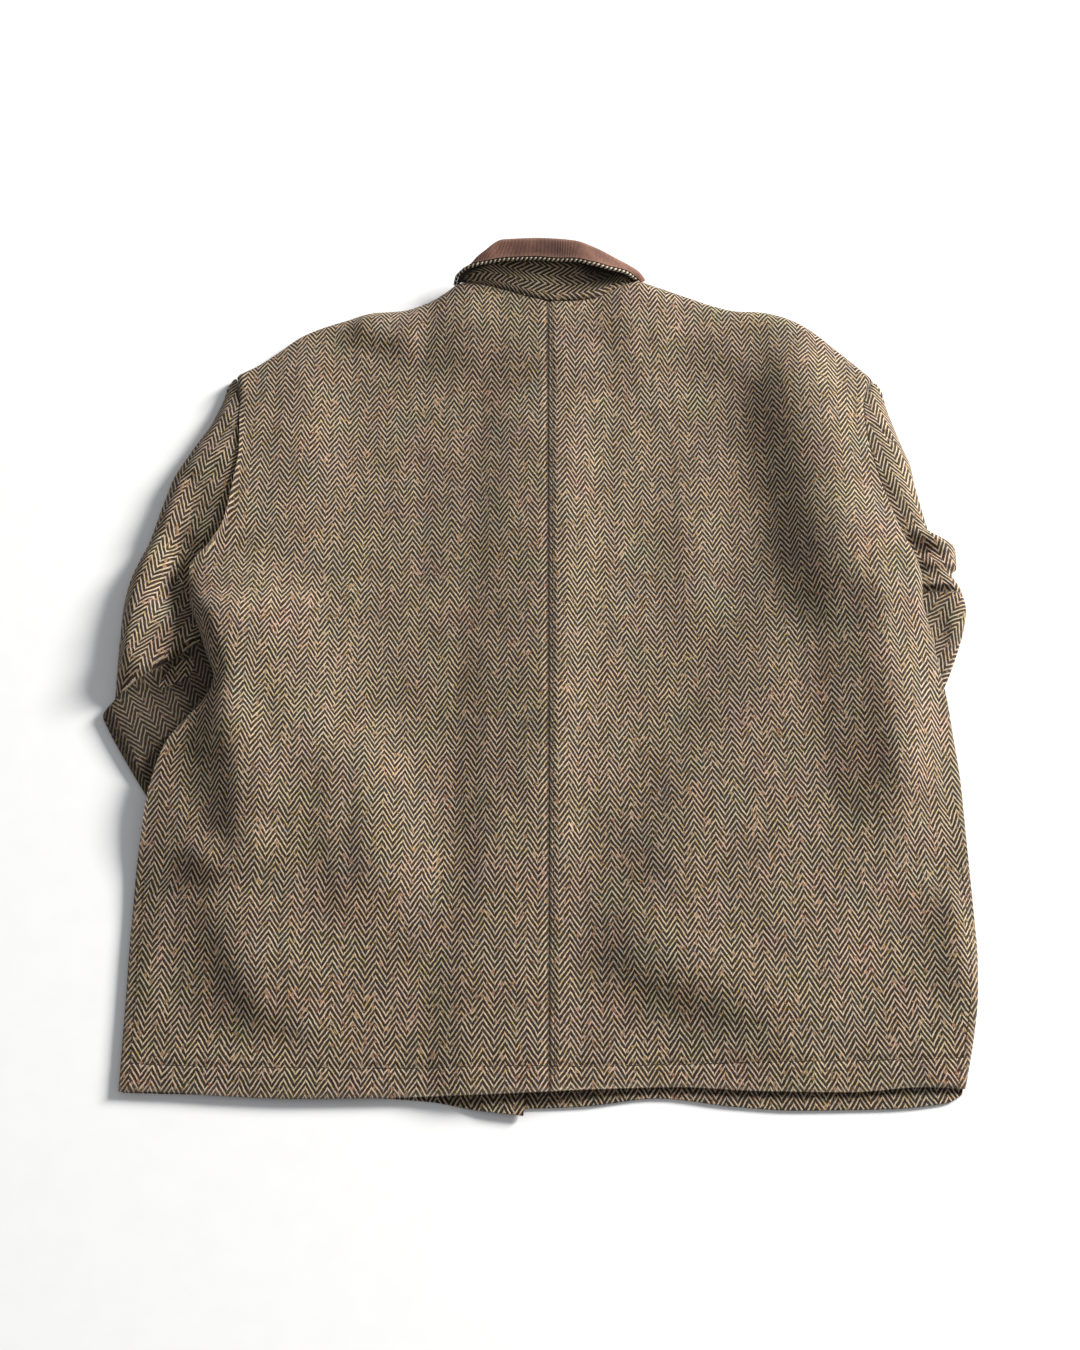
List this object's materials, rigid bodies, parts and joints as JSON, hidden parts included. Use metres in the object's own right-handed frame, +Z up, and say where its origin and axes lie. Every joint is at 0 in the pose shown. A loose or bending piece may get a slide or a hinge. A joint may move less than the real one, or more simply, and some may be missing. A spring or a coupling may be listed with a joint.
{
  "type": "work jacket",
  "caption": "Herringbone tweed work jacket lying face down, back up, with its sleeves folded under and a piped, cord-lined collar.",
  "frame": {"origin": "on the surface the jacket lies on, under the centre back seam, a little below half its length: a point of the right front's flat underside", "axes": "+Z up out of the surface, +Y from the hem towards the collar along the centre back seam, +X towards the jacket's right sleeve"},
  "size_m": [0.74, 0.8224, 0.0493],
  "materials": {
    "tweed": "brown and cream herringbone wool, matt",
    "cord": "fine-ribbed brown cord, soft nap",
    "piping": "two-colour twisted cord",
    "horn": "dark horn, satin"
  },
  "bodies": {
    "root": {"back_left": "tweed", "back_right": "tweed", "front_left": "tweed", "front_right": "tweed", "sleeve_left_top": "tweed", "sleeve_left_under": "tweed", "sleeve_right_top": "tweed", "sleeve_right_under": "tweed", "collar_under": "tweed", "collar_top": "cord", "collar_leaf_left": "cord", "collar_leaf_right": "cord", "collar_piping": "piping", "button_1": "horn", "button_2": "horn", "button_3": "horn", "button_4": "horn", "button_5": "horn"}
  },
  "joints": []
}
